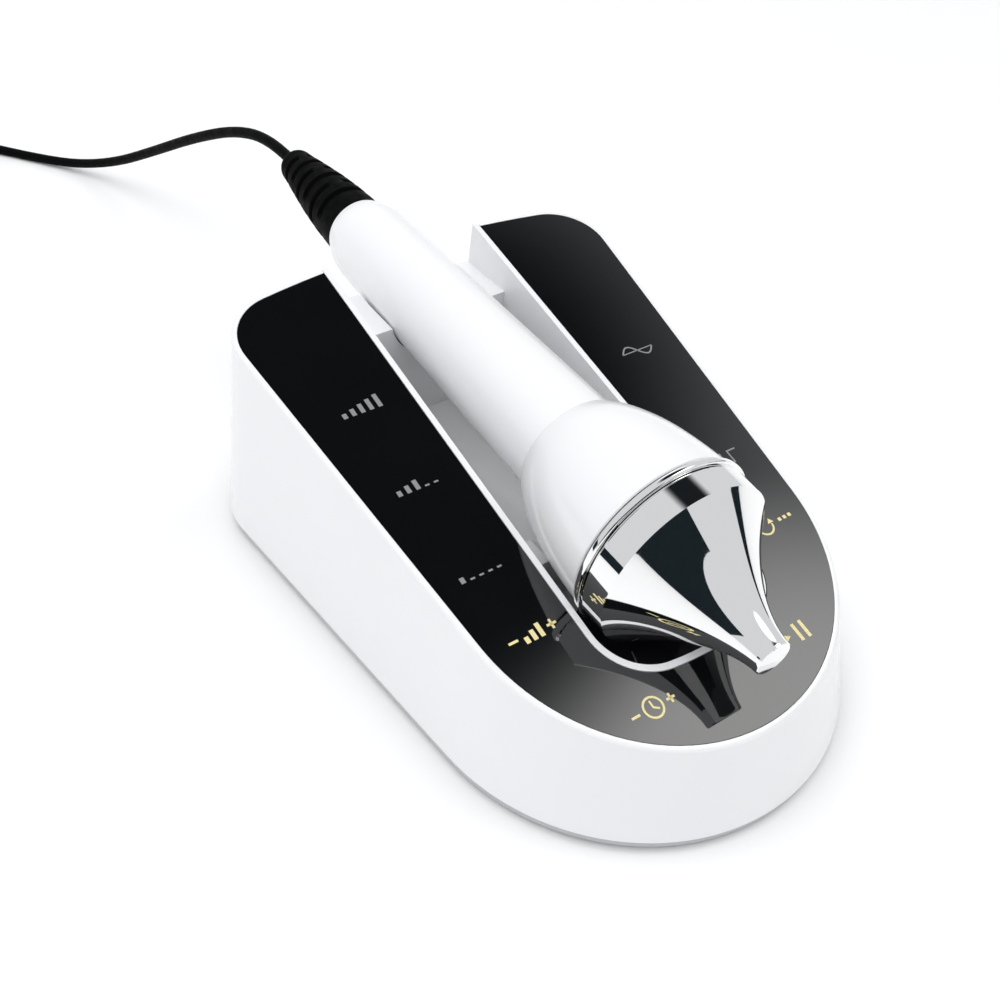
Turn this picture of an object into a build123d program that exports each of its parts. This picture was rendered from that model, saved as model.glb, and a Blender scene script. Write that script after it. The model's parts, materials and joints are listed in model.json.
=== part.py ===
from build123d import *
import os
from math import atan, cos, degrees, pi, radians, sin, tan

os.makedirs("parts", exist_ok=True)

# +Z is up, -Y points to the user (the round front) and +X to the user's right.
# The pieces are drawn about the middle of the console, and each one is written
# with its origin on the table, under the middle of console and handpiece together.

# ---- driving dimensions, in millimetres and degrees ----
FOOT_DROP = 1.5  # the feet hold the console this far off the table
COVER_THICK = 2.2
WALL = 2.2
ROOF = 2.0
GAP = 0.15  # assembly gap between casing pieces
LIFT_GAP = 0.35  # gap between the cradle and the handpiece

PANEL_PITCH = 13.0  # slope of the control panel
RIM_MID = 45.0  # height of the panel surface above the origin
PANEL_BACK_HALF = 56.65
PANEL_FRONT_HALF = 46.4
PANEL_BACK_Y = 76.5
PANEL_TURN_Y = -28.8  # centre of the round front
PANEL_FRONT_Y = -76.5
PANEL_BACK_BULGE = 6.0
PANEL_CORNER = 14.5
LIP = 1.4  # white edge round the panel
FLARE = 6.8  # how much further out the foot of the wall stands
PANEL_THICK = 2.0
ADHESIVE_THICK = 0.4
SENSOR_THICK = 0.8

CHANNEL_HALF = 24.5
CHANNEL_FRONT_Y = -57.6
CHANNEL_CORNER = 15.0
CHANNEL_FRONT_BULGE = 3.0
CRADLE_WALL = 1.5
POCKET_Z = 19.0  # floor of the channel ahead of the saddle
SADDLE_FRONT_Y = 60.0
SADDLE_TOP_Z = 50.0
REST_Y = -14.0  # rib that carries the handpiece head
REST_LENGTH = 8.0
REST_R = 21.4  # radius of the head over the rib

PROBE_PITCH = 3.69  # the handpiece lies nearly level
JOINT_Y = 101.7  # where the strain relief meets the handle
JOINT_Z = 54.8
PROBE_LENGTH = 174.2  # from that joint to the tip
HANDLE_MOUTH_R = 9.9
HANDLE_REAR_R = 11.9
HANDLE_FRONT_R = 14.3
HANDLE_END = 104.0
HEAD_END = 136.6
HEAD_FRONT_R = 23.0
SHELL = 1.8
COLLAR_R = 24.0
BAND_R = 23.2
EDGE_R = 22.9
EDGE_AT = 146.1
TIP_R = 4.6
HORN_POWER = 1.8
RELIEF_LENGTH = 42.4
RELIEF_R = 9.4
RELIEF_TIP_R = 3.4

CORD_D = 3.5
COIL_TURNS_WIDE = 4
COIL_TURNS_HIGH = 2
COIL_MEAN_R = 19.0
COIL_CENTRE = (-89.0, 316.5)

BOARD_Z = 8.0
BOARD_THICK = 1.6

# ---- planes and axes ----
pitch = radians(PANEL_PITCH)
stretch = 1 / cos(pitch)
cover_top = FOOT_DROP + COVER_THICK
panel_plane = Plane(origin=(0, 0, RIM_MID), x_dir=(1, 0, 0), z_dir=(0, -sin(pitch), cos(pitch)))

tilt = radians(PROBE_PITCH)
probe_dir = Vector(0, -cos(tilt), -sin(tilt))
joint_point = Vector(0, JOINT_Y, JOINT_Z)
probe_axis = Axis(joint_point, probe_dir)
probe_section = Plane(origin=joint_point, x_dir=probe_dir, z_dir=(-1, 0, 0))


def probe_plane(s):
    """Plane across the handpiece, s mm ahead of the joint, facing the tip."""
    return Plane(origin=joint_point + probe_dir * s, x_dir=(1, 0, 0), z_dir=probe_dir)


def probe_height(y):
    """Height of the handpiece axis at a given y."""
    return JOINT_Z - (JOINT_Y - y) * tan(tilt)


def rim_height(y):
    """Height of the panel surface at a given y."""
    return RIM_MID + y * tan(pitch)


device_front = PANEL_FRONT_Y - LIP - FLARE
device_back = JOINT_Y + RELIEF_LENGTH * cos(tilt) + RELIEF_TIP_R * sin(tilt)
to_origin = Location((0, -(device_front + device_back) / 2, 0))


def save(builder, label):
    """Write one piece about the device's origin."""
    piece = builder.part.moved(to_origin)
    piece.label = label
    export_step(piece, f"parts/{label}.step")


# ---- outlines ----
def console_plan(grow, scale_y=1.0):
    """Horseshoe outline of the panel, grown outwards and stretched along y."""
    a = PANEL_FRONT_HALF + grow
    b = (PANEL_TURN_Y - PANEL_FRONT_Y + grow) * scale_y
    turn = PANEL_TURN_Y * scale_y
    back = (PANEL_BACK_Y + grow) * scale_y
    side = (PANEL_BACK_HALF - PANEL_FRONT_HALF) / (PANEL_BACK_Y - PANEL_TURN_Y) / scale_y
    t = atan(side * b / a)
    near = (a * cos(t), turn - b * sin(t))
    far_x = near[0] + side * (back - PANEL_BACK_BULGE - near[1])
    far = (far_x, back - PANEL_BACK_BULGE)
    with BuildSketch() as plan:
        with BuildLine():
            EllipticalCenterArc((0, turn), a, b, start_angle=180 + degrees(t), arc_size=180 - 2 * degrees(t))
            Line(near, far)
            ThreePointArc(far, (0, back), (-far[0], far[1]))
            Line((-far[0], far[1]), (-near[0], near[1]))
        make_face()
        fillet(plan.vertices().group_by(Axis.Y)[-1], PANEL_CORNER + grow)
    return plan.sketch


def channel_plan(grow, back_y, scale_y=1.0):
    """Outline of the channel: straight sides, open back, bowed front with round corners."""
    half = CHANNEL_HALF + grow
    front = (CHANNEL_FRONT_Y - grow) * scale_y
    shoulder = front + CHANNEL_FRONT_BULGE * scale_y
    back = back_y * scale_y
    with BuildSketch() as plan:
        with BuildLine():
            Line((-half, back), (-half, shoulder))
            ThreePointArc((-half, shoulder), (0, front), (half, shoulder))
            Line((half, shoulder), (half, back))
            Line((half, back), (-half, back))
        make_face()
        fillet(plan.vertices().group_by(Axis.Y)[0], CHANNEL_CORNER + grow)
    return plan.sketch


OPEN_BACK = 120.0  # well past the back wall
lip_outer = console_plan(LIP, stretch)
foot_outer = console_plan(LIP + FLARE)
inner_foot = console_plan(LIP + FLARE - WALL)
inner_top = console_plan(LIP - WALL, stretch)
stack = PANEL_THICK + ADHESIVE_THICK + SENSOR_THICK
cradle_floor = POCKET_Z - CRADLE_WALL - 0.5

# ---- console casing ----
BOSS_PLACES = [(51.5, 60.0), (-51.5, 60.0), (33.0, -55.0), (-33.0, -55.0)]
BOSS_R = 4.0
SCREW_R = 1.5
INLET_X = 34.0
INLET_Z = 18.0
INLET_R = 5.0
SOCKET_X = -36.0
SOCKET_Z = 20.0
SOCKET_R = 7.5
PORT_FACE_Y = 84.0  # flat pads round the two ports at the back
RIBBON_X = -44.0
RIBBON_Y = -10.0
LAMP_PLACES = [(-37.0, 31.0), (-38.0, 0.0), (37.0, 44.0), (39.0, 6.0), (-34.0, -38.0)]

with BuildPart() as upper_housing:
    with BuildSketch(Plane.XY.offset(cover_top)):
        add(foot_outer)
    with BuildSketch(panel_plane):
        add(lip_outer)
    loft(ruled=True)
    fillet(upper_housing.faces().sort_by(Axis.Z)[-1].outer_wire().edges(), 1.0)
    with BuildSketch(Plane.XY.offset(cover_top)):
        add(inner_foot)
    with BuildSketch(panel_plane.offset(-stack - ROOF)):
        add(inner_top)
    loft(ruled=True, mode=Mode.SUBTRACT)
    with BuildSketch(panel_plane.offset(-stack)):
        add(console_plan(GAP, stretch))
    extrude(amount=stack + 5, mode=Mode.SUBTRACT)
    for x, y in BOSS_PLACES:
        with BuildSketch(Plane.XY.offset(cover_top)):
            with Locations((x, y)):
                Circle(BOSS_R)
        extrude(amount=rim_height(y) - stack - ROOF / 2 - cover_top)
    with BuildSketch(Plane.XY.offset(cradle_floor - GAP)):
        add(channel_plan(0, OPEN_BACK))
    extrude(amount=100, mode=Mode.SUBTRACT)
    for x, y in BOSS_PLACES:
        with BuildSketch(Plane.XY.offset(cover_top)):
            with Locations((x, y)):
                Circle(SCREW_R)
        extrude(amount=12, mode=Mode.SUBTRACT)
    with BuildSketch(Plane.XZ.offset(-PORT_FACE_Y)):
        with Locations((INLET_X, INLET_Z)):
            Circle(INLET_R + 1.5)
        with Locations((SOCKET_X, SOCKET_Z)):
            Circle(SOCKET_R + 1.5)
    extrude(amount=4.5)
    with BuildSketch(Plane.XZ.offset(-100)):
        with Locations((INLET_X, INLET_Z)):
            Circle(INLET_R)
        with Locations((SOCKET_X, SOCKET_Z)):
            Circle(SOCKET_R)
    extrude(amount=30, mode=Mode.SUBTRACT)
    with BuildSketch(panel_plane.offset(-stack)):
        with Locations([(x, y * stretch) for x, y in LAMP_PLACES]):
            Rectangle(3.8, 2.4)
        with Locations((RIBBON_X, RIBBON_Y * stretch)):
            Rectangle(1.6, 16)
    extrude(amount=-ROOF - 1, mode=Mode.SUBTRACT)
save(upper_housing, "upper_housing")

FOOT_PLACES = [(42.0, 66.0), (-42.0, 66.0), (20.0, -66.0), (-20.0, -66.0)]
FOOT_R = 6.0
FOOT_SEAT = 1.0
HEAD_R = 3.0
TONGUE_INSET = 1.3
STANDOFFS = [(42, 50), (-42, 50), (42, -20), (-42, -20)]

with BuildPart() as bottom_cover:
    with BuildSketch(Plane.XY.offset(FOOT_DROP)):
        add(console_plan(LIP + FLARE - 0.4))
    extrude(amount=COVER_THICK - GAP)
    with BuildSketch(Plane.XY.offset(cover_top - GAP)):
        add(console_plan(LIP + FLARE - WALL - TONGUE_INSET))
        add(console_plan(LIP + FLARE - 2 * WALL - TONGUE_INSET), mode=Mode.SUBTRACT)
        with Locations(BOSS_PLACES):
            Circle(BOSS_R + 1.6, mode=Mode.SUBTRACT)
    extrude(amount=2.0)
    with Locations([Location((x, y, FOOT_DROP)) for x, y in BOSS_PLACES]):
        Cylinder(SCREW_R + 0.1, 10, mode=Mode.SUBTRACT)
    with Locations([Location((x, y, FOOT_DROP)) for x, y in BOSS_PLACES]):
        Cylinder(HEAD_R + 0.2, 2.4, mode=Mode.SUBTRACT)
    with BuildSketch(Plane.XY.offset(FOOT_DROP)):
        with Locations(FOOT_PLACES):
            Circle(FOOT_R + 0.1)
    extrude(amount=FOOT_SEAT, mode=Mode.SUBTRACT)
    with BuildSketch(Plane.XY.offset(cover_top - GAP)):
        with Locations(STANDOFFS):
            Circle(3.0)
    extrude(amount=BOARD_Z - cover_top + GAP)
save(bottom_cover, "bottom_cover")

with BuildPart() as rubber_feet:
    with BuildSketch(Plane.XY):
        with Locations(FOOT_PLACES):
            Circle(FOOT_R)
    extrude(amount=FOOT_DROP + FOOT_SEAT)
    chamfer(rubber_feet.faces().group_by(Axis.Z)[0].edges(), 0.5)
save(rubber_feet, "rubber_feet")

with BuildPart() as housing_screws:
    with BuildSketch(Plane.XY.offset(FOOT_DROP)):
        with Locations(BOSS_PLACES):
            Circle(HEAD_R)
    extrude(amount=1.1)
    with BuildSketch(Plane.XY.offset(FOOT_DROP)):
        with Locations(BOSS_PLACES):
            Circle(SCREW_R - 0.02)
    extrude(amount=10.0)
    with Locations([Location((x, y, FOOT_DROP)) for x, y in BOSS_PLACES]):
        Box(3.4, 0.6, 1.2, mode=Mode.SUBTRACT)
        Box(0.6, 3.4, 1.2, mode=Mode.SUBTRACT)
save(housing_screws, "housing_screws")

# ---- control panel, flush with the rim ----
channel_hole = channel_plan(GAP / 2, OPEN_BACK)


def panel_layer(label, top, thick, grow):
    """One horseshoe layer of the panel, its top at a depth under the rim."""
    with BuildPart() as layer:
        with BuildSketch(panel_plane.offset(-top - thick)):
            add(console_plan(grow, stretch))
        extrude(amount=thick)
        with BuildSketch():
            add(channel_hole)
        extrude(amount=2 * RIM_MID, mode=Mode.SUBTRACT)
    save(layer, label)


panel_layer("touch_panel", 0, PANEL_THICK, 0)
panel_layer("panel_adhesive", PANEL_THICK, ADHESIVE_THICK, -0.5)
panel_layer("touch_sensor_board", PANEL_THICK + ADHESIVE_THICK, SENSOR_THICK, -0.5)

# ---- cradle: the channel that carries the handpiece ----
saddle_back = PANEL_BACK_Y + LIP + FLARE
WINDOW_BACK_Y = -26.0
WINDOW_THICK = 1.9


def probe_radius(s):
    """Outer radius of the white handpiece body, s mm ahead of the joint."""
    return HANDLE_REAR_R + (HANDLE_FRONT_R - HANDLE_REAR_R) * min(s, HANDLE_END) / HANDLE_END


saddle_r = probe_radius(JOINT_Y - PANEL_BACK_Y) + 0.4 + LIFT_GAP
with BuildPart() as cradle:
    with BuildSketch(Plane.XY.offset(cradle_floor)):
        add(channel_plan(-GAP, OPEN_BACK))
    extrude(amount=60)
    with BuildSketch(Plane.XY.offset(POCKET_Z)):
        add(channel_plan(-GAP - CRADLE_WALL, OPEN_BACK))
    extrude(amount=80, mode=Mode.SUBTRACT)
    with BuildSketch(Plane.XY.offset(POCKET_Z - 1)):
        with Locations((0, (SADDLE_FRONT_Y + saddle_back) / 2)):
            Rectangle(2 * CHANNEL_HALF - 1, saddle_back - SADDLE_FRONT_Y)
    extrude(amount=SADDLE_TOP_Z - POCKET_Z + 1)
    with BuildSketch(Plane.XY.offset(POCKET_Z - 1)):
        with Locations((0, REST_Y)):
            Rectangle(2 * CHANNEL_HALF - 1, REST_LENGTH)
    extrude(amount=15)
    with BuildSketch(Plane.XY.offset(cover_top)):
        add(foot_outer)
    with BuildSketch(panel_plane):
        add(lip_outer)
    loft(ruled=True, mode=Mode.INTERSECT)
    with BuildSketch(probe_plane(JOINT_Y - saddle_back - 5)):
        Circle(saddle_r)
    extrude(amount=saddle_back - SADDLE_FRONT_Y + 20, mode=Mode.SUBTRACT)
    with BuildSketch(Plane.XZ.offset(-100)):
        with Locations((0, probe_height(PANEL_BACK_Y) + 30)):
            Rectangle(2 * saddle_r, 60)
    extrude(amount=60, mode=Mode.SUBTRACT)
    with BuildSketch(Plane.XZ.offset(-REST_Y - REST_LENGTH)):
        with Locations((0, probe_height(REST_Y))):
            Circle(REST_R + LIFT_GAP)
    extrude(amount=2 * REST_LENGTH, mode=Mode.SUBTRACT)
save(cradle, "cradle")

with BuildPart() as display_window:
    with BuildSketch(Plane.XY.offset(POCKET_Z)):
        add(channel_plan(-GAP - CRADLE_WALL - 0.2, WINDOW_BACK_Y))
    extrude(amount=WINDOW_THICK)
save(display_window, "display_window")

# ---- electronics under the channel and in the two arms ----
board_top = BOARD_Z + BOARD_THICK
BOARD_HALF = 46.0
BOARD_BACK_Y = 68.0
BOARD_FRONT_Y = -34.0


def block(label, places, size, base_z, corner=0.0):
    """Equal boxes, each centred on its place, standing on one height."""
    with BuildPart() as piece:
        with BuildSketch(Plane.XY.offset(base_z)):
            with Locations(places):
                Rectangle(size[0], size[1])
        extrude(amount=size[2])
        if corner:
            fillet(piece.edges().filter_by(Axis.Z), corner)
    save(piece, label)


def can(label, places, radius, height, base_z, edge=0.6):
    """Equal round cans standing on one height."""
    with BuildPart() as piece:
        with BuildSketch(Plane.XY.offset(base_z)):
            with Locations(places):
                Circle(radius)
        extrude(amount=height)
        fillet(piece.faces().group_by(Axis.Z)[-1].edges(), edge)
    save(piece, label)


with BuildPart() as main_board:
    with BuildSketch(Plane.XY.offset(BOARD_Z)):
        with Locations((0, (BOARD_BACK_Y + BOARD_FRONT_Y) / 2)):
            RectangleRounded(2 * BOARD_HALF, BOARD_BACK_Y - BOARD_FRONT_Y, 3)
        with Locations(STANDOFFS):
            Circle(1.6, mode=Mode.SUBTRACT)
    extrude(amount=BOARD_THICK)
save(main_board, "main_board")

block("controller_chip", [(-5, 10)], (12, 12, 1.6), board_top)
block("driver_chip", [(12, 30)], (8, 10, 1.8), board_top)
block("drive_transformer", [(38, 30)], (17, 22, 20), board_top, 1.5)
block("power_transistor", [(-32.5, 42)], (4.5, 10, 16), board_top + 3)
can("filter_capacitors", [(-36, 18), (-36, 4), (36, 6)], 5.0, 16.0, board_top)
can("buzzer", [(37, -12)], 6.0, 8.0, board_top)
block("display_module", [(0, -40)], (34, 16, 5.5), 10.5)
block("display_header", [(0, -33.0)], (24, 1.6, 0.8), board_top)

with BuildPart() as heat_sink:
    with BuildSketch(Plane.XY.offset(board_top)):
        with Locations((-36.5, 42)):
            Rectangle(3, 30)
        with Locations([(-41.5, 42 + 4.5 * i) for i in range(-3, 4)]):
            Rectangle(7.2, 1.5)
    extrude(amount=26)
save(heat_sink, "heat_sink")

with BuildPart() as ribbon_cable:
    with BuildSketch(Plane.XY.offset(board_top)):
        with Locations((RIBBON_X, RIBBON_Y)):
            Rectangle(0.4, 12)
    extrude(amount=60)
    with BuildSketch(panel_plane.offset(-stack)):
        Rectangle(200, 300)
    extrude(amount=60, mode=Mode.SUBTRACT)
save(ribbon_cable, "ribbon_cable")

with BuildPart() as key_lamps:
    with BuildSketch(panel_plane.offset(-stack - 1.0)):
        with Locations([(x, y * stretch) for x, y in LAMP_PLACES]):
            Rectangle(3.0, 1.6)
    extrude(amount=1.0)
save(key_lamps, "key_lamps")

INLET_FRONT_Y = 65.0
with BuildPart() as power_inlet:
    with BuildSketch(Plane.XZ.offset(-INLET_FRONT_Y)):
        with Locations((INLET_X, INLET_Z - 1.0)):
            Rectangle(11, 14.8)
    extrude(amount=-12)
    with BuildSketch(Plane.XZ.offset(-INLET_FRONT_Y - 12)):
        with Locations((INLET_X, INLET_Z)):
            Circle(INLET_R - 0.3)
    extrude(amount=-5.0)
    with BuildSketch(Plane.XZ.offset(-INLET_FRONT_Y - 4)):
        with Locations((INLET_X, INLET_Z)):
            Circle(2.75)
            Circle(1.0, mode=Mode.SUBTRACT)
    extrude(amount=-20, mode=Mode.SUBTRACT)
save(power_inlet, "power_inlet")

SOCKET_DEPTH = 14.0
with BuildPart() as probe_socket:
    with BuildSketch(Plane.XZ.offset(-PORT_FACE_Y + SOCKET_DEPTH)):
        with Locations((SOCKET_X, SOCKET_Z)):
            Circle(SOCKET_R - 0.2)
    extrude(amount=-SOCKET_DEPTH)
    with BuildSketch(Plane.XZ.offset(-PORT_FACE_Y)):
        with Locations((SOCKET_X, SOCKET_Z)):
            Circle(SOCKET_R + 1.6)
    extrude(amount=-1.5)
    with BuildSketch(Plane.XZ.offset(-PORT_FACE_Y + SOCKET_DEPTH - 4)):
        with Locations((SOCKET_X, SOCKET_Z)):
            Circle(5.2)
            Circle(3.8, mode=Mode.SUBTRACT)
            with PolarLocations(2.2, 4):
                Circle(0.7)
    extrude(amount=-20, mode=Mode.SUBTRACT)
save(probe_socket, "probe_socket")

with BuildPart() as socket_nut:
    with BuildSketch(Plane.XZ.offset(-72.0)):
        with Locations((SOCKET_X, SOCKET_Z)):
            RegularPolygon(9.6, 6)
            Circle(SOCKET_R - 0.15, mode=Mode.SUBTRACT)
    extrude(amount=-2.5)
save(socket_nut, "socket_nut")

# ---- handpiece: turned about one axis, s mm from the strain relief joint ----
def turned(label, outline):
    """Solid of revolution; the outline is a function that draws a closed profile."""
    with BuildPart() as piece:
        with BuildSketch(probe_section):
            with BuildLine():
                outline()
            make_face()
        revolve(axis=probe_axis)
    save(piece, label)


def ring(s0, s1, inner, outer):
    """Closed rectangle profile between two radii."""
    Polyline((s0, inner), (s1, inner), (s1, outer), (s0, outer), (s0, inner))


BORE_R = 7.0
HANDLE_BOW = 10.0  # where the rear end reaches the full width
SPIGOT_END = HANDLE_END + 4.0


def handle_profile():
    """Tapered tube with a bowed rear end and a stepped front spigot."""
    mouth = (0.5, HANDLE_MOUTH_R)
    full = (HANDLE_BOW, probe_radius(HANDLE_BOW))
    step = HANDLE_FRONT_R - SHELL / 2
    bore = step - SHELL + 0.6
    Line((0, HANDLE_MOUTH_R - 0.5), mouth)
    Spline(mouth, full, tangents=[(1.0, 0.5), (1.0, 0.023)])
    Polyline(full, (HANDLE_END, HANDLE_FRONT_R), (HANDLE_END, step), (SPIGOT_END, step))
    Line((SPIGOT_END, step), (SPIGOT_END, bore))
    Line((SPIGOT_END, bore), (8, HANDLE_REAR_R - SHELL))
    Polyline((8, HANDLE_REAR_R - SHELL), (8, BORE_R), (0, BORE_R), (0, HANDLE_MOUTH_R - 0.5))


turned("handle_shell", handle_profile)


def head_profile():
    """Egg-shaped shell that starts with a crease on the handle."""
    rear = (HANDLE_END + GAP, HANDLE_FRONT_R + 0.5)
    brow = (HANDLE_END + 6.1, 18.0)
    mid = (HANDLE_END + 19.1, 21.6)
    front = (HEAD_END, HEAD_FRONT_R)
    inner_front = (HEAD_END, HEAD_FRONT_R - SHELL)
    inner_mid = (HANDLE_END + 15.0, 19.0)
    inner_rear = (SPIGOT_END + 0.2, 14.6)
    spigot = HANDLE_FRONT_R - SHELL / 2 + 0.05
    Spline(rear, brow, mid, front, tangents=[(1.0, 0.65), (1.0, 0.07)])
    Line(front, inner_front)
    Spline(inner_front, inner_mid, inner_rear, tangents=[(-1.0, -0.07), (-1.0, -0.8)])
    Polyline(inner_rear, (SPIGOT_END + 0.2, spigot), (HANDLE_END + GAP, spigot), rear)


turned("head_shell", head_profile)

RING_START = HEAD_END + 0.7
RING_END = RING_START + 1.7
turned("head_seal", lambda: ring(HEAD_END, RING_START, 19.6, HEAD_FRONT_R - 0.3))


def collar_profile():
    """Rounded ring that stands a little proud of the head."""
    Line((RING_START, 19.6), (RING_START, COLLAR_R - 0.6))
    RadiusArc((RING_START, COLLAR_R - 0.6), (RING_START + 0.6, COLLAR_R), 0.6)
    Line((RING_START + 0.6, COLLAR_R), (RING_END - 0.6, COLLAR_R))
    RadiusArc((RING_END - 0.6, COLLAR_R), (RING_END, COLLAR_R - 0.6), 0.6)
    Polyline((RING_END, COLLAR_R - 0.6), (RING_END, 19.6), (RING_START, 19.6))


turned("collar_ring", collar_profile)

STACK_FACE = 143.1
CERAMIC_R = 15.0
CERAMIC_THICK = 5.0
SHIM = 0.3
BOLT_R = 3.0
SPIGOT_R = 19.5
HORN_REAR = 132.1
BOLT_HOLE_END = 154.1


def horn_radius(s):
    """Trumpet curve from the sharp edge of the band to the tip."""
    return TIP_R + (EDGE_R - TIP_R) * (1 - (s - EDGE_AT) / (PROBE_LENGTH - EDGE_AT)) ** HORN_POWER


def horn_profile():
    """Band with a groove, sharp edge and trumpet, hollow behind, on a spigot."""
    points = [(EDGE_AT + (PROBE_LENGTH - 0.6 - EDGE_AT) * i / 8) for i in range(9)]
    curve = [(s, horn_radius(s)) for s in points]
    groove = BAND_R - 1.0
    Polyline((HORN_REAR, 18.0), (HORN_REAR, SPIGOT_R), (RING_END, SPIGOT_R), (RING_END, groove))
    Polyline((RING_END, groove), (RING_END + 0.5, groove), (RING_END + 0.5, BAND_R), (EDGE_AT, EDGE_R))
    Spline(*curve)
    end = curve[-1]
    Polyline(end, (PROBE_LENGTH, TIP_R - 0.5), (PROBE_LENGTH, 0), (BOLT_HOLE_END, 0))
    Polyline((BOLT_HOLE_END, 0), (BOLT_HOLE_END, BOLT_R), (STACK_FACE, BOLT_R), (STACK_FACE, 18.0))
    Line((STACK_FACE, 18.0), (HORN_REAR, 18.0))


turned("horn", horn_profile)

first_ceramic = STACK_FACE - CERAMIC_THICK
first_shim = first_ceramic - SHIM
second_ceramic = first_shim - CERAMIC_THICK
second_shim = second_ceramic - SHIM
BACK_MASS = 18.0
mass_rear = second_shim - BACK_MASS
WIRE_R = 0.7
WIRE_OFFSET = 16.3


def rings(label, starts, thick, inner, outer, tab=False):
    """Equal flat rings across the handpiece axis."""
    with BuildPart() as piece:
        for side, s in zip((1, -1), starts):
            with BuildSketch(probe_plane(s)):
                Circle(outer)
                if tab:
                    with Locations((side * (outer + 1), 0)):
                        Rectangle(3.4, 3)
                Circle(inner, mode=Mode.SUBTRACT)
            extrude(amount=thick)
    save(piece, label)


rings("piezo_rings", (first_ceramic, second_ceramic), CERAMIC_THICK, 6.5, CERAMIC_R)
rings("contact_shims", (first_shim, second_shim), SHIM, 6.5, CERAMIC_R, tab=True)
rings("back_mass", (mass_rear,), BACK_MASS, BOLT_R + 0.2, CERAMIC_R)

with BuildPart() as preload_bolt:
    with BuildSketch(probe_plane(mass_rear - 6)):
        Circle(5.0)
        RegularPolygon(2.6, 6, mode=Mode.SUBTRACT)
    extrude(amount=6)
    with BuildSketch(probe_plane(mass_rear - 2)):
        Circle(5.0)
    extrude(amount=2)
    with BuildSketch(probe_plane(mass_rear)):
        Circle(BOLT_R - 0.05)
    extrude(amount=BOLT_HOLE_END - 2 - mass_rear)
save(preload_bolt, "preload_bolt")

with BuildPart() as cable_clamp:
    with BuildSketch(probe_plane(12)):
        Circle(9.6)
        with Locations((4.2, 0), (-4.2, 0)):
            Circle(1.2, mode=Mode.SUBTRACT)
    extrude(amount=5)
save(cable_clamp, "cable_clamp")

with BuildPart() as lead_wires:
    for side, end in ((1, first_shim), (-1, second_shim)):
        with BuildLine(Plane(origin=joint_point, x_dir=probe_dir, z_dir=(0, -sin(tilt), cos(tilt)))) as route:
            FilletPolyline(
                (9, side * 4.2),
                (106, side * 4.2),
                (112.6, side * WIRE_OFFSET),
                (end, side * WIRE_OFFSET),
                radius=6,
            )
        with BuildSketch(Plane(origin=route.line @ 0, z_dir=route.line % 0)):
            Circle(WIRE_R)
        sweep(path=route.line)
save(lead_wires, "lead_wires")

RELIEF_RIBS = 5


def relief_profile():
    """Domed, tapering boot with ring grooves and a plug that fills the handle's neck."""
    grooves = []
    for i in range(RELIEF_RIBS):
        s = -8.5 - 6.3 * i
        r = RELIEF_R - 0.9 - 0.85 * i
        grooves += [(s + 0.9, r + 0.25), (s + 0.9, r - 0.6), (s - 0.9, r - 0.75), (s - 0.9, r - 0.1)]
    outline = [(9, 0), (9, BORE_R - 0.02), (0, BORE_R - 0.02), (0, RELIEF_R), (-4, RELIEF_R - 0.1)]
    outline += grooves
    outline += [(-RELIEF_LENGTH + 1.2, RELIEF_TIP_R + 0.6), (-RELIEF_LENGTH, RELIEF_TIP_R), (-RELIEF_LENGTH, 0)]
    Polyline(*outline, outline[0])


turned("strain_relief", relief_profile)

# ---- cord: tube, wound-up rest and plug, all on the table side ----
cord_start = joint_point - probe_dir * (RELIEF_LENGTH + 0.05)
table_z = CORD_D / 2
cord_points = [
    tuple(cord_start),
    tuple(cord_start - probe_dir * 15),
    (-3.2, 179.5, 54.0),
    (-8.6, 207.0, 41.0),
    (-14.6, 236.0, 25.0),
    (-22.6, 262.0, 11.0),
    (-33.0, 284.0, 3.0),
    (-45.0, 300.5, table_z),
    (-57.0, 316.5, table_z),
    (-70.3, 331.9, table_z),
]


def tangent_radii(points):
    """Arc radius at each inner point: 0.45 of the shorter run over tan of half the turn."""
    radii = []
    for before, here, after in zip(points, points[1:], points[2:]):
        run_in = Vector(here) - Vector(before)
        run_out = Vector(after) - Vector(here)
        turn = radians(run_in.get_angle(run_out))
        radii.append(0.45 * min(run_in.length, run_out.length) / tan(turn / 2))
    return radii


cord_radii = tangent_radii(cord_points)
print("cord radii:", [round(r, 1) for r in cord_radii])
with BuildPart() as cord:
    with BuildLine() as cord_route:
        FilletPolyline(*cord_points, radius=cord_radii)
    with BuildSketch(Plane(origin=cord_route.line @ 0, z_dir=cord_route.line % 0)):
        Circle(CORD_D / 2)
    sweep(path=cord_route.line)
cord_length = sum(edge.length for edge in cord_route.edges())
print("cord length:", round(cord_length, 1))
print("volume ratio:", round(cord.part.volume / (pi * CORD_D**2 / 4 * cord_length), 4))
save(cord, "cord")

coil_width = COIL_TURNS_WIDE * CORD_D
with BuildPart() as cord_coil:
    with BuildSketch():
        with Locations(COIL_CENTRE):
            Circle(COIL_MEAN_R + coil_width / 2)
            Circle(COIL_MEAN_R - coil_width / 2, mode=Mode.SUBTRACT)
    extrude(amount=COIL_TURNS_HIGH * CORD_D)
save(cord_coil, "cord_coil")

PLUG_R = 6.0
PLUG_START = 2.0  # the plug's rear end, along -y from the left side of the coil
plug_rear = Vector(COIL_CENTRE[0] - COIL_MEAN_R - coil_width / 2 + CORD_D / 2, COIL_CENTRE[1] - PLUG_START, PLUG_R)
plug_section = Plane(origin=plug_rear, x_dir=(0, -1, 0), z_dir=(-1, 0, 0))
plug_axis = Axis(plug_rear, (0, -1, 0))


def plug_part(label, outline):
    """Solid of revolution about the plug's axis."""
    with BuildPart() as piece:
        with BuildSketch(plug_section):
            with BuildLine():
                Polyline(*outline, outline[0])
            make_face()
        revolve(axis=plug_axis)
    save(piece, label)


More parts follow.
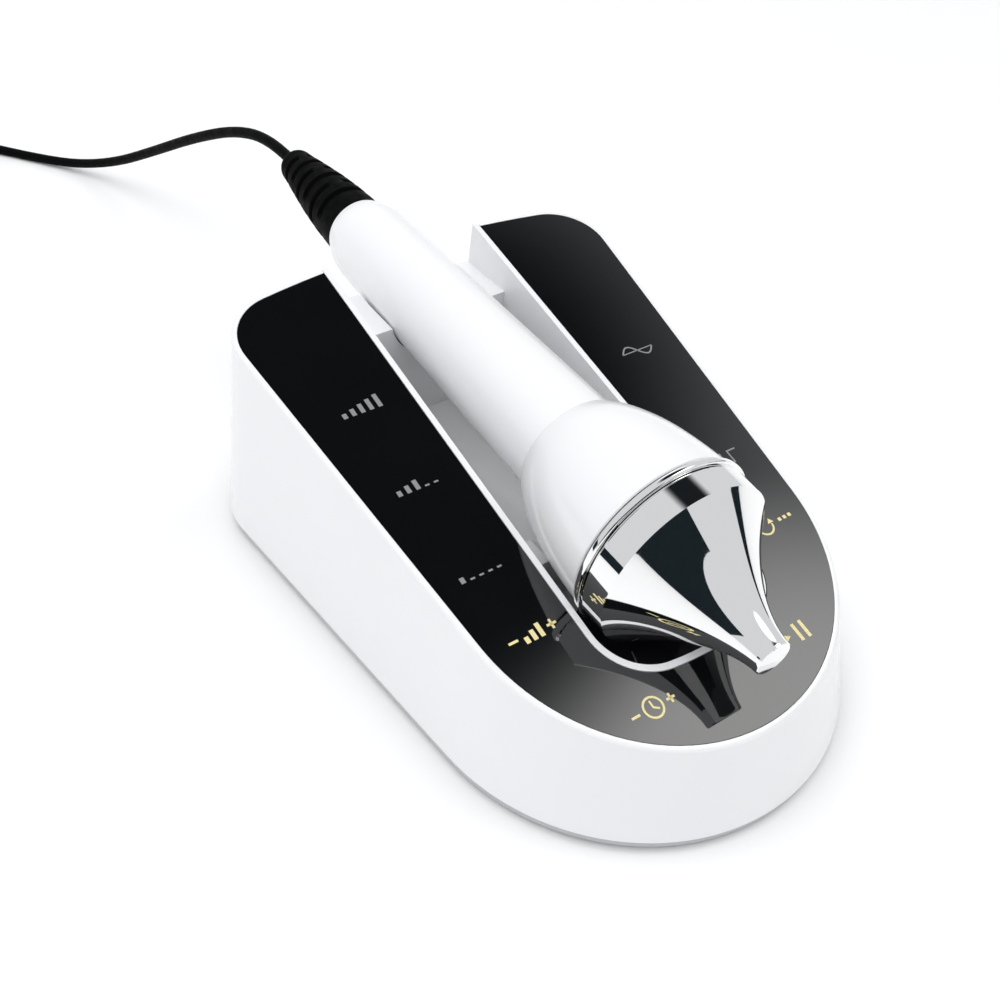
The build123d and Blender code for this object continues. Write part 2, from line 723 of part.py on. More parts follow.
plug_outline = [(0, 0), (0, 2.4), (12, 3.6), (13.5, 5.6), (15, PLUG_R), (31, PLUG_R), (32, PLUG_R - 1), (32, 0)]
plug_part("plug_body", plug_outline)
sleeve_outline = [(32, 0), (32, 4.6), (41, 4.6), (41, 4.1), (33.5, 4.1), (33.5, 0)]
plug_part("plug_sleeve", sleeve_outline)

with BuildPart() as plug_pins:
    with BuildSketch(Plane(origin=plug_rear + Vector(0, -33.5, 0), x_dir=(1, 0, 0), z_dir=(0, -1, 0))):
        with PolarLocations(2.2, 4):
            Circle(0.5)
    extrude(amount=6.5)
    fillet(plug_pins.faces().group_by(Axis.Y)[0].edges(), 0.3)
save(plug_pins, "plug_pins")
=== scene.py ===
import json
from math import cos, pi, radians, sin, sqrt, tan, tau

import bmesh
import bpy
from mathutils import Matrix, Vector


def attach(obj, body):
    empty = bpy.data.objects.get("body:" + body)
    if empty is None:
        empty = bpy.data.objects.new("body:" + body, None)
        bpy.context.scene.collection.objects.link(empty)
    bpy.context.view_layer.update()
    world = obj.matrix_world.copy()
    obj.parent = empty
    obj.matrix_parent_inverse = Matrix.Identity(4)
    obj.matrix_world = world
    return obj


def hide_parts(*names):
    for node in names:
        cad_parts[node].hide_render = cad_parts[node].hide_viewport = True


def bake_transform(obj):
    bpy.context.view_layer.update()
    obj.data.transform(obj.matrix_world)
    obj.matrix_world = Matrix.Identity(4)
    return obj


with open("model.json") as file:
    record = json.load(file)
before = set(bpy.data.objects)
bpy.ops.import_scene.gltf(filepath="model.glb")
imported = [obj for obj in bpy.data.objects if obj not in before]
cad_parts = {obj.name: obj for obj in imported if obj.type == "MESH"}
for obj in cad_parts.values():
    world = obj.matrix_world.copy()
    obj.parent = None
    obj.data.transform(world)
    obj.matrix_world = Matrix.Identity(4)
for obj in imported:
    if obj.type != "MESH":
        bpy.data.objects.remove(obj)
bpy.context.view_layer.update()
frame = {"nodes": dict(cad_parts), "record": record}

# Lengths below are in millimetres about the middle of the console, as in the
# part's source; at() moves them into the row frame and turns them into metres.
MM = 0.001
SHIFT_Y = -29.765


def at(x, y, z):
    return Vector((x, y + SHIFT_Y, z)) * MM


PITCH = radians(13.0)  # control panel
TILT = radians(3.69)  # handpiece axis
RIM_MID = 45.0
JOINT = Vector((0.0, 101.7, 54.8))  # where the strain relief meets the handle
AXIS = Vector((0.0, -cos(TILT), -sin(TILT)))
UPWARD = Vector((0.0, -sin(TILT), cos(TILT)))
scene = bpy.context.scene

scene.view_settings.view_transform = "Standard"

# ---- camera ----
CAMERA_PLACE = (-130.81, -150.77, 218.43)
CAMERA_AZIMUTH = radians(-36.649)
CAMERA_ELEVATION = radians(43.671)
CAMERA_ROLL = radians(3.656)
CAMERA_LENS = 39.21

camera = bpy.data.objects.new("camera", bpy.data.cameras.new("camera"))
scene.collection.objects.link(camera)
scene.camera = camera
camera.data.lens = CAMERA_LENS
camera.data.sensor_width = 36.0
camera.data.clip_start = 0.01
camera.data.clip_end = 20.0
towards = Vector((
    sin(CAMERA_AZIMUTH) * cos(CAMERA_ELEVATION),
    -cos(CAMERA_AZIMUTH) * cos(CAMERA_ELEVATION),
    sin(CAMERA_ELEVATION),
))
level = Vector((cos(CAMERA_AZIMUTH), sin(CAMERA_AZIMUTH), 0.0))
above = towards.cross(level)
right = cos(CAMERA_ROLL) * level + sin(CAMERA_ROLL) * above
up = -sin(CAMERA_ROLL) * level + cos(CAMERA_ROLL) * above
turn = Matrix((right, up, towards)).transposed().to_4x4()
camera.matrix_world = Matrix.Translation(at(*CAMERA_PLACE)) @ turn


# ---- materials: every finish is made of noise at the scale of the real surface ----
def new_material(name):
    material = bpy.data.materials.new(name)
    material.use_nodes = True
    nodes = material.node_tree.nodes
    return material, nodes, material.node_tree.links, nodes["Principled BSDF"]


def noise(nodes, links, place, scale, detail=3.0):
    node = nodes.new("ShaderNodeTexNoise")
    node.inputs["Scale"].default_value = scale
    node.inputs["Detail"].default_value = detail
    links.new(place, node.inputs["Vector"])
    return node.outputs["Fac"]


def spread(nodes, links, value, low, high, start=0.3, end=0.7):
    node = nodes.new("ShaderNodeMapRange")
    for socket, number in zip(("From Min", "From Max", "To Min", "To Max"), (start, end, low, high)):
        node.inputs[socket].default_value = number
    links.new(value, node.inputs["Value"])
    return node.outputs["Result"]


def finish(name, colour, rough, metallic=0.0, grain=1500.0, bump=0.02, depth=0.0001, mottle=0.03,
           blotch=60.0, rough_spread=0.25, ior=1.5, coat=0.0, coat_rough=0.03, specular=0.5):
    """Principled finish with mottled colour, uneven gloss and a fine grain."""
    material, nodes, links, shader = new_material(name)
    place = nodes.new("ShaderNodeTexCoord").outputs["Object"]
    shader.inputs["Metallic"].default_value = metallic
    shader.inputs["IOR"].default_value = ior
    shader.inputs["Coat Weight"].default_value = coat
    shader.inputs["Coat Roughness"].default_value = coat_rough
    shader.inputs["Specular IOR Level"].default_value = specular
    tint = nodes.new("ShaderNodeMix")
    tint.data_type = "RGBA"
    tint.inputs["A"].default_value = (*[c * (1 - mottle) for c in colour], 1)
    tint.inputs["B"].default_value = (*[min(1.0, c * (1 + mottle)) for c in colour], 1)
    links.new(noise(nodes, links, place, blotch), tint.inputs["Factor"])
    links.new(tint.outputs["Result"], shader.inputs["Base Color"])
    uneven = noise(nodes, links, place, blotch * 2.5, 4.0)
    low, high = rough * (1 - rough_spread), rough * (1 + rough_spread)
    links.new(spread(nodes, links, uneven, low, high), shader.inputs["Roughness"])
    relief = nodes.new("ShaderNodeBump")
    relief.inputs["Strength"].default_value = bump
    relief.inputs["Distance"].default_value = depth
    links.new(noise(nodes, links, place, grain, 4.0), relief.inputs["Height"])
    links.new(relief.outputs["Normal"], shader.inputs["Normal"])
    return material


def turned_metal(name, colour, rough, ring_scale=2500.0, bump=0.03):
    """Polished metal with the faint rings that turning leaves round the handpiece axis."""
    material, nodes, links, shader = new_material(name)
    place = nodes.new("ShaderNodeTexCoord").outputs["Object"]
    shader.inputs["Metallic"].default_value = 1.0
    shader.inputs["Base Color"].default_value = (*colour, 1)
    along = nodes.new("ShaderNodeVectorMath")
    along.operation = "DOT_PRODUCT"
    along.inputs[1].default_value = AXIS
    links.new(place, along.inputs[0])
    rings = nodes.new("ShaderNodeTexNoise")
    rings.noise_dimensions = "1D"
    rings.inputs["Scale"].default_value = ring_scale
    rings.inputs["Detail"].default_value = 3.0
    links.new(along.outputs["Value"], rings.inputs["W"])
    relief = nodes.new("ShaderNodeBump")
    relief.inputs["Strength"].default_value = bump
    relief.inputs["Distance"].default_value = 0.00002
    links.new(rings.outputs["Fac"], relief.inputs["Height"])
    links.new(relief.outputs["Normal"], shader.inputs["Normal"])
    smear = noise(nodes, links, place, 90.0, 5.0)
    links.new(spread(nodes, links, smear, rough * 0.6, rough * 1.6), shader.inputs["Roughness"])
    return material


BLACK_RUBBER = (0.003, 0.0032, 0.0034)
FINISHES = {
    "gloss_white": finish(
        "gloss_white", (0.86, 0.865, 0.875), 0.2, bump=0.012, mottle=0.006, coat=0.2, coat_rough=0.04
    ),
    "grey_plastic": finish("grey_plastic", (0.50, 0.51, 0.52), 0.42, bump=0.08, grain=2600.0),
    "panel_black": finish(
        "panel_black", (0.0035, 0.004, 0.0045), 0.035, bump=0.002, mottle=0.2, ior=1.75, rough_spread=0.4
    ),
    "foam_black": finish("foam_black", (0.02, 0.02, 0.02), 0.9, bump=0.5, grain=3500.0),
    "board_green": finish("board_green", (0.01, 0.09, 0.04), 0.35, bump=0.05, mottle=0.2, coat=0.4),
    "lamp": finish("lamp", (0.85, 0.86, 0.8), 0.3, bump=0.02),
    "window_dark": finish("window_dark", (0.016, 0.016, 0.021), 0.05, bump=0.004, mottle=0.2, ior=1.6),
    "component_black": finish("component_black", (0.02, 0.02, 0.021), 0.5, bump=0.15, grain=3000.0),
    "alu": finish("alu", (0.78, 0.79, 0.8), 0.35, metallic=1.0, bump=0.1, grain=2500.0),
    "can_blue": finish("can_blue", (0.03, 0.07, 0.2), 0.3, bump=0.03, coat=0.3),
    "ribbon": finish("ribbon", (0.72, 0.72, 0.7), 0.45, bump=0.1),
    "rubber_black": finish(
        "rubber_black", BLACK_RUBBER, 0.6, specular=0.03, bump=0.18, grain=2400.0, mottle=0.3, blotch=150.0
    ),
    "steel": finish("steel", (0.62, 0.62, 0.63), 0.28, metallic=1.0, bump=0.05),
    "chrome": turned_metal("chrome", (0.93, 0.93, 0.925), 0.035),
    "ceramic": finish("ceramic", (0.55, 0.5, 0.42), 0.6, bump=0.15, grain=3000.0),
    "brass": finish("brass", (0.75, 0.55, 0.2), 0.25, metallic=1.0, bump=0.05),
    "cable_black": finish(
        "cable_black", BLACK_RUBBER, 0.55, specular=0.03, bump=0.06, grain=1800.0, mottle=0.3, blotch=200.0
    ),
    "wire_red": finish("wire_red", (0.5, 0.02, 0.02), 0.4, bump=0.05),
    "nylon": finish("nylon", (0.75, 0.74, 0.7), 0.45, bump=0.05),
}
for part in frame["record"]["subparts"]:
    node = frame["nodes"][part["node"]]
    for socket in node.material_slots:
        socket.material = FINISHES[part["material_slot"]]


def dress(piece, slot_name, body, *nodes):
    """Finish, body and CAD nodes of a new piece."""
    piece.data.materials.append(FINISHES[slot_name])
    if body:
        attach(piece, body)
    if nodes:
        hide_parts(*nodes)
    return piece


def mesh_piece(name, points, faces, crease=35.0):
    """Smooth mesh object with sharp edges above the crease angle."""
    mesh = bpy.data.meshes.new(name)
    mesh.from_pydata([tuple(p) for p in points], [], faces)
    mesh.validate()
    shape = bmesh.new()
    shape.from_mesh(mesh)
    bmesh.ops.recalc_face_normals(shape, faces=shape.faces)
    shape.to_mesh(mesh)
    shape.free()
    mesh.polygons.foreach_set("use_smooth", [True] * len(mesh.polygons))
    mesh.set_sharp_from_angle(angle=radians(crease))
    piece = bpy.data.objects.new(name, mesh)
    scene.collection.objects.link(piece)
    return piece


# ---- cord: one spline from the strain relief over the table into a coil ----
CORD_D = 3.5
CORD_EXIT = 42.45  # behind the joint, along the handpiece axis
TABLE_Z = CORD_D / 2
exit_point = JOINT - AXIS * CORD_EXIT
cord_route = [
    tuple(exit_point),
    tuple(exit_point - AXIS * 15),
    (-3.2, 179.5, 54.0),
    (-8.6, 207.0, 41.0),
    (-14.6, 236.0, 25.0),
    (-22.6, 262.0, 11.0),
    (-33.0, 284.0, 3.0),
    (-45.0, 300.5, TABLE_Z),
    (-57.0, 316.5, TABLE_Z),
]
COIL_X = -89.0
COIL_Y = 316.5
COIL_START = 39.5  # degrees round the coil where the cord comes in
COIL_POINTS = 18  # control points for each turn
OUTER_TURN = 24.25
INNER_TURN = 13.75
DOWN_TURNS = 3.0
CLIMB_TURNS = 0.6
ALL_TURNS = 7 + 140.5 / 360
PLUG_Z = 6.0
hull = 1 / (0.75 + 0.25 * cos(tau / COIL_POINTS))  # a spline runs inside its points


def smooth(t):
    t = min(1.0, max(0.0, t))
    return t * t * (3 - 2 * t)


for i in range(int(ALL_TURNS * COIL_POINTS)):
    turns = i / COIL_POINTS
    if turns < DOWN_TURNS:
        radius = OUTER_TURN - (OUTER_TURN - INNER_TURN) * turns / DOWN_TURNS
    else:
        out = (turns - DOWN_TURNS - CLIMB_TURNS) / (ALL_TURNS - DOWN_TURNS - CLIMB_TURNS)
        radius = INNER_TURN + (OUTER_TURN - INNER_TURN) * max(0.0, out)
    climb = smooth((turns - DOWN_TURNS + 0.3) / (CLIMB_TURNS + 0.3))
    angle = radians(COIL_START) + tau * turns
    cord_route.append((
        COIL_X + radius * hull * cos(angle),
        COIL_Y + radius * hull * sin(angle),
        TABLE_Z + CORD_D * climb,
    ))
cord_route.append((COIL_X - OUTER_TURN, COIL_Y + 3.0, CORD_D * 1.6))
cord_route.append((COIL_X - OUTER_TURN, COIL_Y - 3.0, PLUG_Z))

spline_data = bpy.data.curves.new("cord_line", "CURVE")
spline_data.dimensions = "3D"
spline_data.resolution_u = 6
spline = spline_data.splines.new("NURBS")
spline.points.add(len(cord_route) - 1)
for point, place in zip(spline.points, cord_route):
    point.co = (*at(*place), 1.0)
spline.order_u = 3
spline.use_endpoint_u = True
spline_object = bpy.data.objects.new("cord_line", spline_data)
scene.collection.objects.link(spline_object)
bpy.context.view_layer.update()
line_mesh = bpy.data.meshes.new_from_object(spline_object)
cord_line = [v.co.copy() for v in line_mesh.vertices]
bpy.data.objects.remove(spline_object)


def tube(name, line, radius, sides=16):
    """Closed round tube along a line of points, with rings that never twist."""
    points, faces = [], []
    normal = Vector((0, 0, 1))
    for i, here in enumerate(line):
        ahead = line[min(i + 1, len(line) - 1)] - line[max(i - 1, 0)]
        ahead.normalize()
        normal = (normal - ahead * normal.dot(ahead)).normalized()
        side = ahead.cross(normal)
        for k in range(sides):
            turn_k = tau * k / sides
            points.append(here + radius * (cos(turn_k) * normal + sin(turn_k) * side))
    for i in range(len(line) - 1):
        for k in range(sides):
            a, b = i * sides + k, i * sides + (k + 1) % sides
            faces.append((a, b, b + sides, a + sides))
    faces.append(tuple(range(sides - 1, -1, -1)))
    faces.append(tuple(range(len(points) - sides, len(points))))
    return mesh_piece(name, points, faces, 60.0)


cord = tube("cord_and_coil", cord_line, CORD_D / 2 * MM)
dress(cord, "cable_black", None, "cord", "cord_coil")
cord_length = sum((b - a).length for a, b in zip(cord_line, cord_line[1:]))
print("cord length", round(cord_length, 4))
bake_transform(cord)


# ---- handpiece, turned about its axis ----
def lathe(name, profile, slot_name, nodes, turns=160, crease=32.0):
    """Closed profile of (distance from the joint, radius), turned about the handpiece axis."""
    points, faces, rings = [], [], []
    for s, r in profile:
        centre = JOINT + AXIS * s
        first = len(points)
        count = turns if r > 1e-6 else 1
        for k in range(count):
            a = tau * k / turns
            points.append(at(*(centre + r * (cos(a) * UPWARD + sin(a) * Vector((1, 0, 0))))))
        rings.append((first, count))
    for (a, na), (b, nb) in zip(rings, rings[1:] + rings[:1]):
        if na == nb == 1:
            continue
        for k in range(turns):
            n = (k + 1) % turns
            face = [a + k % na, b + k % nb, b + n % nb, a + n % na]
            faces.append(tuple(dict.fromkeys(face)))
    piece = mesh_piece(name, points, faces, crease)
    return dress(piece, slot_name, "handpiece", *nodes)


def arc(cs, cr, radius, start, end, steps=6):
    """Profile points on a circle about (cs, cr), from start to end in degrees."""
    angles = [radians(start + (end - start) * i / steps) for i in range(steps + 1)]
    return [(cs + radius * cos(a), cr + radius * sin(a)) for a in angles]


def bow(p, slope_p, q, slope_q, steps=14):
    """Profile points on a smooth curve with given slopes at its ends."""
    run = q[0] - p[0]
    out = []
    for i in range(steps + 1):
        t = i / steps
        h = (2 * t**3 - 3 * t**2 + 1, t**3 - 2 * t**2 + t, -2 * t**3 + 3 * t**2, t**3 - t**2)
        r = h[0] * p[1] + h[1] * run * slope_p + h[2] * q[1] + h[3] * run * slope_q
        out.append((p[0] + run * t, r))
    return out


HANDLE_END = 104.0
HEAD_END = 136.6
RING_START = 137.3
RING_END = 139.0
EDGE_AT = 146.1
PROBE_LENGTH = 174.2

CABLE_BORE_R = 7.0
INNER_REAR_R = 10.1
handle = [(3.0, CABLE_BORE_R), (0.0, CABLE_BORE_R), (0.0, 9.4)] + arc(0.5, 9.4, 0.5, 170, 110, 3)
handle += bow((0.5, 9.9), 0.5, (10.0, 12.12), 0.023)
handle += [(30.0, 12.58), (60.0, 13.27), (90.0, 13.96), (HANDLE_END, 14.28)]
handle += [(HANDLE_END, 13.4), (HANDLE_END, 12.6), (8.0, INNER_REAR_R), (3.0, INNER_REAR_R)]
lathe("handle_white", handle, "gloss_white", ["handle_shell"])

SPIGOT_R = 13.45
BROW = (HANDLE_END + 6.1, 18.0)
CHEEK = (HANDLE_END + 19.1, 21.6)
head = [(HANDLE_END + 0.15, SPIGOT_R), (HANDLE_END + 0.15, 14.5)]
head += bow((HANDLE_END + 0.45, 15.0), 0.6, BROW, 0.41)
head += bow(BROW, 0.41, CHEEK, 0.165)[1:]
head += bow(CHEEK, 0.165, (HEAD_END - 0.3, 22.96), 0.06)[1:]
head += [(HEAD_END, 22.7), (HEAD_END, 21.2), (HANDLE_END + 15.0, 19.0), (HANDLE_END + 5.0, 15.0)]
head += [(HANDLE_END + 4.2, SPIGOT_R)]
lathe("head_white", head, "gloss_white", ["head_shell"])

SEAT_R = 19.6
SEAL_R = 22.5
seal = [(HEAD_END, SEAT_R), (HEAD_END, SEAL_R), (RING_START, SEAL_R), (RING_START, SEAT_R)]
lathe("head_seal_ring", seal, "rubber_black", ["head_seal"])

COLLAR_FLAT_R = 23.35
COLLAR_ROUND = 0.6
collar = [(RING_START, SEAT_R), (RING_START, COLLAR_FLAT_R)]
collar += arc(RING_START + COLLAR_ROUND, COLLAR_FLAT_R, COLLAR_ROUND, 180, 90)
collar += arc(RING_END - COLLAR_ROUND, COLLAR_FLAT_R, COLLAR_ROUND, 90, 0) + [(RING_END, SEAT_R)]
lathe("collar", collar, "chrome", ["collar_ring"])

EDGE_R = 22.9
TIP_R = 4.6
TRUMPET_STEPS = 60
TRUMPET_POWER = 1.8
HORN_REAR = 132.1
STACK_FACE = 143.1
BOLT_HOLE_END = 154.1
HORN_SPIGOT_R = 19.5
HORN_BORE_R = 18.0
horn = [(RING_END, HORN_SPIGOT_R), (RING_END, 22.0), (RING_END + 0.25, 22.0), (RING_END + 0.35, 22.5)]
horn += [(RING_END + 0.5, 22.6), (RING_END + 0.62, 23.05), (RING_END + 0.8, 23.18)]
horn += [(EDGE_AT - 0.3, 22.95), (EDGE_AT - 0.05, 22.93)]
trumpet = PROBE_LENGTH - EDGE_AT
reach = PROBE_LENGTH - 0.45 - EDGE_AT
for i in range(TRUMPET_STEPS + 1):
    t = i / TRUMPET_STEPS
    taper = (1 - t * reach / trumpet) ** TRUMPET_POWER
    horn.append((EDGE_AT + 0.02 + reach * t, TIP_R + (EDGE_R - 0.05 - TIP_R) * taper))
horn += [(PROBE_LENGTH - 0.15, TIP_R - 0.08), (PROBE_LENGTH, TIP_R - 0.3), (PROBE_LENGTH, 0.0)]
horn += [(BOLT_HOLE_END, 0.0), (STACK_FACE, HORN_BORE_R), (HORN_REAR, HORN_BORE_R), (HORN_REAR, HORN_SPIGOT_R)]
lathe("horn_chrome", horn, "chrome", ["horn"], turns=256, crease=28.0)

# strain relief: tapering boot whose grooves alternate between top and sides
RELIEF_END = -42.4
RELIEF_KNOTS = [(0.0, 9.38), (-4.0, 9.36), (-12.0, 8.9), (-20.0, 8.1), (-30.0, 6.7), (-38.0, 5.4)]
GROOVES = [-8.0, -13.4, -18.8, -24.2, -29.6, -34.8]
GROOVE_HALF = 1.05
GROOVE_DEPTH = 1.05
RELIEF_SIDES = 120
RELIEF_STEP = 0.25
RELIEF_MOUTH_R = 1.7


def relief_radius(s):
    for (s0, r0), (s1, r1) in zip(RELIEF_KNOTS, RELIEF_KNOTS[1:]):
        if s >= s1:
            return r1 + (r0 - r1) * (s - s1) / (s0 - s1)
    dome = (s - RELIEF_KNOTS[-1][0]) / (RELIEF_END - RELIEF_KNOTS[-1][0])
    return RELIEF_MOUTH_R + (RELIEF_KNOTS[-1][1] - RELIEF_MOUTH_R) * sqrt(max(0.0, 1 - min(dome, 1.0) ** 2.4))


stations = [-RELIEF_STEP * i for i in range(int(-RELIEF_END / RELIEF_STEP) + 1)]
boot_points, boot_faces = [], []
for s in stations:
    centre = JOINT + AXIS * s
    for k in range(RELIEF_SIDES):
        a = tau * k / RELIEF_SIDES
        r = relief_radius(s)
        for number, middle in enumerate(GROOVES):
            across = 1 - smooth((abs(s - middle) - GROOVE_HALF + 0.3) / 0.5)
            turned_a = a + (pi / 2 if number % 2 else 0.0)
            around = smooth((abs(cos(turned_a)) - 0.22) / 0.12)
            r -= GROOVE_DEPTH * (0.5 + 0.5 * r / 9.3) * across * around
        offset = r * (cos(a) * UPWARD + sin(a) * Vector((1, 0, 0)))
        boot_points.append(at(*(centre + offset)))
for i in range(len(stations) - 1):
    for k in range(RELIEF_SIDES):
        a, b = i * RELIEF_SIDES + k, i * RELIEF_SIDES + (k + 1) % RELIEF_SIDES
        boot_faces.append((a, b, b + RELIEF_SIDES, a + RELIEF_SIDES))
boot_faces.append(tuple(range(RELIEF_SIDES)))
boot_faces.append(tuple(range(len(boot_points) - RELIEF_SIDES, len(boot_points))))
boot = mesh_piece("strain_relief_boot", boot_points, boot_faces, 50.0)
dress(boot, "rubber_black", "handpiece", "strain_relief")

# ---- printed marks: generic pictograms in thin ink on the panel ----
INK = 0.05
STROKE = 0.42


def on_panel(x, y, rise):
    """Point on the panel, x and y in millimetres seen from above, rise along the panel's normal."""
    return at(x, y - rise * sin(PITCH), RIM_MID + y * sin(PITCH) / cos(PITCH) + rise * cos(PITCH))


def prism(points, faces, outline, rise=INK):
    """Flat closed prism on the panel with the given outline."""
    n, first = len(outline), len(points)
    for height in (0.004, rise):
        points.extend(on_panel(x, y, height) for x, y in outline)
    faces.append(tuple(range(first + n - 1, first - 1, -1)))
    faces.append(tuple(range(first + n, first + 2 * n)))
    for k in range(n):
        j = (k + 1) % n
        faces.append((first + k, first + j, first + n + j, first + n + k))


def stroke(path, width=STROKE, closed=False):
    """Outlines of the mitred quads along a path."""
    quads, count = [], len(path)
    sides = []
    for i, (x, y) in enumerate(path):
        before = path[i - 1] if closed or i else None
        after = path[(i + 1) % count] if closed or i < count - 1 else None
        ways = []
        for p, q in ((before, (x, y)), ((x, y), after)):
            if p is not None and q is not None:
                d = Vector((q[0] - p[0], q[1] - p[1])).normalized()
                ways.append(Vector((-d.y, d.x)))
        normal = sum(ways, Vector((0, 0))).normalized()
        normal *= width / 2 / max(0.4, normal.dot(ways[0]))
        sides.append(((x + normal.x, y + normal.y), (x - normal.x, y - normal.y)))
    for i in range(count if closed else count - 1):
        (a, b), (c, d) = sides[i], sides[(i + 1) % count]
        quads.append([b, d, c, a])
    return quads


def ellipse(cx, cy, rx, ry, start=0.0, end=360.0, steps=40):
    angles = [radians(start + (end - start) * i / steps) for i in range(steps + 1)]
    return [(cx + rx * cos(a), cy + ry * sin(a)) for a in angles]


def box_at(cx, cy, w, h):
    left, far_side, low, high = cx - w / 2, cx + w / 2, cy - h / 2, cy + h / 2
    return [[(left, low), (far_side, low), (far_side, high), (left, high)]]


def bars(cx, cy, lit):
    """Five rising bars; the lit ones are solid and the others are short dashes."""
    out = []
    for i in range(5):
        height = 1.5 + 0.62 * i if i < lit else 0.45
        out += box_at(cx + (i - 2) * 2.35, cy - 2.0 + height / 2, 1.15, height)
    return out


def marks(name, outlines, material):
    points, faces = [], []
    for outline in outlines:
        prism(points, faces, outline)
    piece = mesh_piece(name, points, faces, 20.0)
    piece.data.materials.append(material)
    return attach(piece, "console")


grey_ink = finish("ink_grey", (0.24, 0.24, 0.24), 0.5, bump=0.05, grain=4000.0)
gold_ink = finish("ink_gold", (0.82, 0.72, 0.36), 0.45, bump=0.05, grain=4000.0)
grey = bars(-37.7, 33.0, 5) + bars(-37.2, 8.4, 3) + bars(-36.4, -17.1, 1)
sine = [(33.3 + 9.6 * i / 36, 19.7 + 1.9 * sin(tau * i / 36)) for i in range(37)]
grey += stroke(sine) + stroke([(33.3, 19.7), (42.9, 19.7)], 0.3)
PULSE_LOW = -20.2
PULSE_HIGH = -16.8
pulse = [(31.6, PULSE_LOW), (33.6, PULSE_LOW), (33.6, PULSE_HIGH), (36.2, PULSE_HIGH)]
pulse += [(36.2, PULSE_LOW), (38.6, PULSE_LOW), (38.6, PULSE_HIGH), (41.2, PULSE_HIGH)]
grey += stroke(pulse)
marks("marks_grey", grey, grey_ink)

gold = box_at(-39.4, -35.9, 2.4, 0.6) + box_at(-29.4, -35.9, 2.4, 0.6) + box_at(-29.4, -35.9, 0.6, 2.4)
for i in range(3):
    gold += box_at(-36.3 + 1.9 * i, -37.6 + (1.6 + 0.9 * i) / 2, 1.1, 1.6 + 0.9 * i)
gold += stroke(ellipse(-21.2, -61.9, 2.3, 2.3)[:-1], 0.5, closed=True)
gold += stroke([(-21.2, -60.3), (-21.2, -61.9), (-20.0, -62.7)], 0.45)
gold += box_at(-25.9, -61.9, 2.2, 0.55) + box_at(-16.5, -61.9, 2.2, 0.55) + box_at(-16.5, -61.9, 0.55, 2.2)
gold += [[(13.4, -65.8), (17.8, -63.4), (13.4, -61.0)]]
gold += box_at(20.0, -63.4, 0.9, 4.4) + box_at(22.2, -63.4, 0.9, 4.4)
gold += stroke(ellipse(32.4, -38.4, 2.2, 2.2, 60, 360), 0.5) + [[(33.7, -38.2), (35.5, -38.2), (34.6, -36.9)]]
for i in range(3):
    gold += box_at(37.3 + 1.6 * i, -38.4, 0.9, 0.9)
marks("marks_gold", gold, gold_ink)

# a thin pale grey line on the display window, at its surface
PALE_LINE_CORNERS = ((-9.8, -42.5), (-10.9, -45.7), (-10.6, -45.8), (-9.5, -42.6))
window_line_points = [at(x, y, height) for height in (20.88, 20.93) for x, y in PALE_LINE_CORNERS]
window_faces = [(3, 2, 1, 0), (4, 5, 6, 7)] + [(k, (k + 1) % 4, 4 + (k + 1) % 4, 4 + k) for k in range(4)]
thin_pale_line = mesh_piece("window_thin_line", window_line_points, window_faces, 20.0)
thin_pale_line.data.materials.append(grey_ink)
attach(thin_pale_line, "console")

# ---- floor, light ----
floor_mesh = bpy.data.meshes.new("floor")
FLOOR_HALF = 6.0
floor_corners = [(x * FLOOR_HALF, y * FLOOR_HALF, 0) for x, y in ((-1, -1), (1, -1), (1, 1), (-1, 1))]
floor_mesh.from_pydata(floor_corners, [], [(0, 1, 2, 3)])
floor = bpy.data.objects.new("floor", floor_mesh)
scene.collection.objects.link(floor)
floor.data.materials.append(finish("floor", (0.93, 0.93, 0.93), 0.6, bump=0.0, mottle=0.003, blotch=3.0))

world = bpy.data.worlds.new("studio")
scene.world = world
world.use_nodes = True
wn, wl = world.node_tree.nodes, world.node_tree.links
direction = wn.new("ShaderNodeTexCoord").outputs["Generated"]
sky = wn["Background"]


def patch(centre, inner, outer):
    """1 inside a cone about a direction, 0 outside, smooth between (cosines)."""
    dot = wn.new("ShaderNodeVectorMath")
    dot.operation = "DOT_PRODUCT"
    dot.inputs[1].default_value = Vector(centre).normalized()
    wl.new(direction, dot.inputs[0])
    ramp = wn.new("ShaderNodeMapRange")
    ramp.interpolation_type = "SMOOTHSTEP"
    ramp.inputs["From Min"].default_value = cos(radians(outer))
    ramp.inputs["From Max"].default_value = cos(radians(inner))
    wl.new(dot.outputs["Value"], ramp.inputs["Value"])
    return ramp.outputs["Result"]


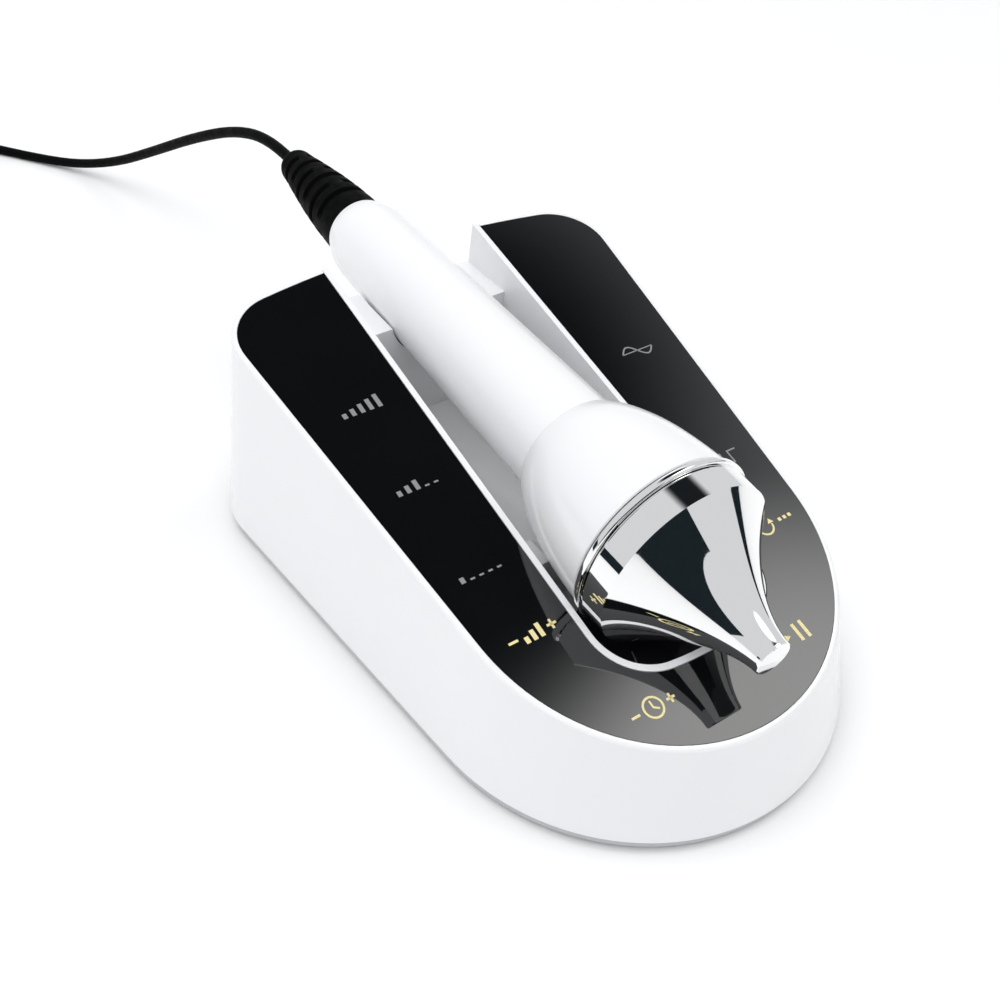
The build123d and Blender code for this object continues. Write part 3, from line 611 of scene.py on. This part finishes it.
def layer(below, mask, colour):
    mix = wn.new("ShaderNodeMix")
    mix.data_type = "RGBA"
    if isinstance(below, tuple):
        mix.inputs["A"].default_value = (*below, 1)
    else:
        wl.new(below, mix.inputs["A"])
    mix.inputs["B"].default_value = (*colour, 1)
    wl.new(mask, mix.inputs["Factor"])
    return mix.outputs["Result"]


ROOM = (0.78, 0.79, 0.81)
SKY_STRENGTH = 0.88
room = layer(ROOM, patch((0.53, -0.14, 0.835), 4, 17), (4.0, 4.0, 3.95))
room = layer(room, patch((0.365, 0.30, 0.88), 10, 20), (0.012, 0.014, 0.016))
room = layer(room, patch((0.40, 0.68, 0.62), 8, 17), (1.5, 1.5, 1.5))
wl.new(room, sky.inputs["Color"])
sky.inputs["Strength"].default_value = SKY_STRENGTH


# dark cards that only show as reflections: azimuth, half width and top, in degrees
CARDS = [(-114.0, 41.0, 29.0), (156.0, 21.0, 9.0), (-21.0, 18.0, 6.0)]
CARD_DISTANCE = 2.0
CARD_STEPS = 24
card_black = finish("card_black", (0.012, 0.018, 0.022), 0.9, bump=0.0, specular=0.0)
for number, (azimuth, half, top) in enumerate(CARDS):
    points = []
    for i in range(CARD_STEPS + 1):
        a = radians(azimuth - half + 2 * half * i / CARD_STEPS)
        foot = Vector((cos(a), sin(a), 0.0)) * CARD_DISTANCE
        points += [foot, foot + Vector((0.0, 0.0, CARD_DISTANCE * tan(radians(top))))]
    quads = [(2 * i, 2 * i + 1, 2 * i + 3, 2 * i + 2) for i in range(CARD_STEPS)]
    card = mesh_piece(f"studio_card_{number}", points, quads)
    card.data.materials.append(card_black)
    card.visible_camera = False
    card.visible_diffuse = False
    card.visible_shadow = False


def area(name, place, size, power):
    """Soft square lamp that looks at the origin and leaves no highlight."""
    lamp = bpy.data.objects.new(name, bpy.data.lights.new(name, "AREA"))
    scene.collection.objects.link(lamp)
    lamp.data.size = size
    lamp.data.energy = power
    lamp.location = place
    lamp.rotation_euler = Vector(place).to_track_quat("Z", "Y").to_euler()
    lamp.visible_glossy = False


area("key", (-0.45, 0.15, 1.8), 1.8, 18.0)
area("fill", (-1.1, -0.5, 0.8), 1.4, 0.2)
